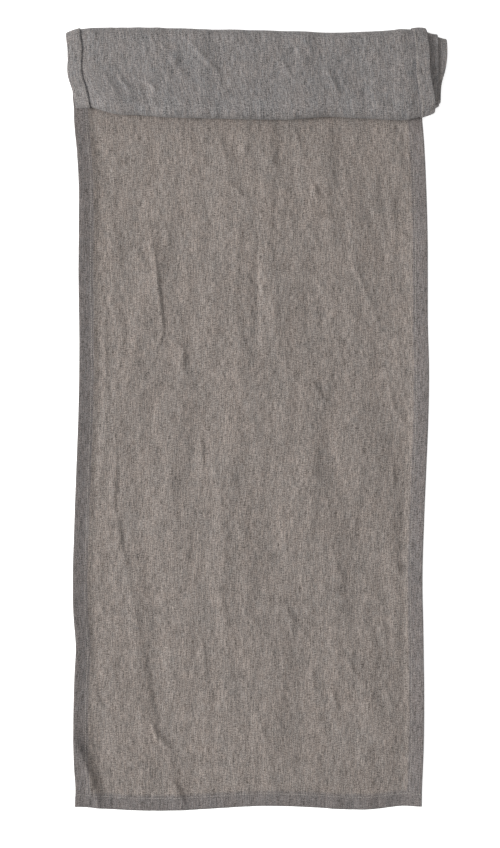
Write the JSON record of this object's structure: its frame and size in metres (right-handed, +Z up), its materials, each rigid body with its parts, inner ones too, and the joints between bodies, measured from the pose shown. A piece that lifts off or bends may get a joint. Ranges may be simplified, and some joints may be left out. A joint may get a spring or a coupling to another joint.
{
  "type": "table runner",
  "caption": "Long hemmed linen table runner, laid flat with its far end wound into a loose, flattened roll.",
  "frame": {"origin": "middle of the footprint, on the table", "axes": "+Z up off the table, +Y along the cloth from its near end to the roll, +X to the right of someone looking that way"},
  "size_m": [0.427, 0.8704, 0.0208],
  "materials": {
    "linen_right_side": "washed plain-weave linen, warm grey-brown, matt and finely crinkled",
    "linen_wrong_side": "the same linen's wrong side, a cooler grey, matt",
    "sewing_thread": "matt spun sewing thread, a little lighter than the cloth"
  },
  "bodies": {
    "laid_length": {"laid_cloth": "linen_right_side", "laid_left_hem": "linen_right_side", "laid_right_hem": "linen_right_side", "near_end_hem": "linen_right_side", "laid_left_needle_thread": "sewing_thread", "laid_left_bobbin_thread": "sewing_thread", "laid_right_needle_thread": "sewing_thread", "laid_right_bobbin_thread": "sewing_thread", "near_end_needle_thread": "sewing_thread", "near_end_bobbin_thread": "sewing_thread"},
    "outer_fold": {"fold_cloth": "linen_wrong_side", "fold_left_hem": "linen_right_side", "fold_right_hem": "linen_right_side", "fold_left_needle_thread": "sewing_thread", "fold_left_bobbin_thread": "sewing_thread", "fold_right_needle_thread": "sewing_thread", "fold_right_bobbin_thread": "sewing_thread"},
    "rolled_end": {"rolled_cloth": "linen_wrong_side", "rolled_left_hem": "linen_right_side", "rolled_right_hem": "linen_right_side", "far_end_hem": "linen_right_side", "rolled_left_needle_thread": "sewing_thread", "rolled_left_bobbin_thread": "sewing_thread", "rolled_right_needle_thread": "sewing_thread", "rolled_right_bobbin_thread": "sewing_thread", "far_end_needle_thread": "sewing_thread", "far_end_bobbin_thread": "sewing_thread"}
  },
  "joints": [
    {"name": "roll_travel", "type": "slide", "parent": "laid_length", "child": "outer_fold", "axis": [0, 1, 0], "range_m": [0, 0.0327]},
    {"name": "roll_turn", "type": "hinge", "parent": "outer_fold", "child": "rolled_end", "pos_m": [0, 0.42484, 0.01038], "axis": [-1, 0, 0], "range_deg": [0, 180], "deforming": ["fold_cloth", "fold_left_hem", "fold_right_hem", "fold_left_needle_thread", "fold_left_bobbin_thread", "fold_right_needle_thread", "fold_right_bobbin_thread"]}
  ],
  "couplings": [
    {"joint": "roll_travel", "follows": "roll_turn", "m_per_rad": 0.01038}
  ]
}
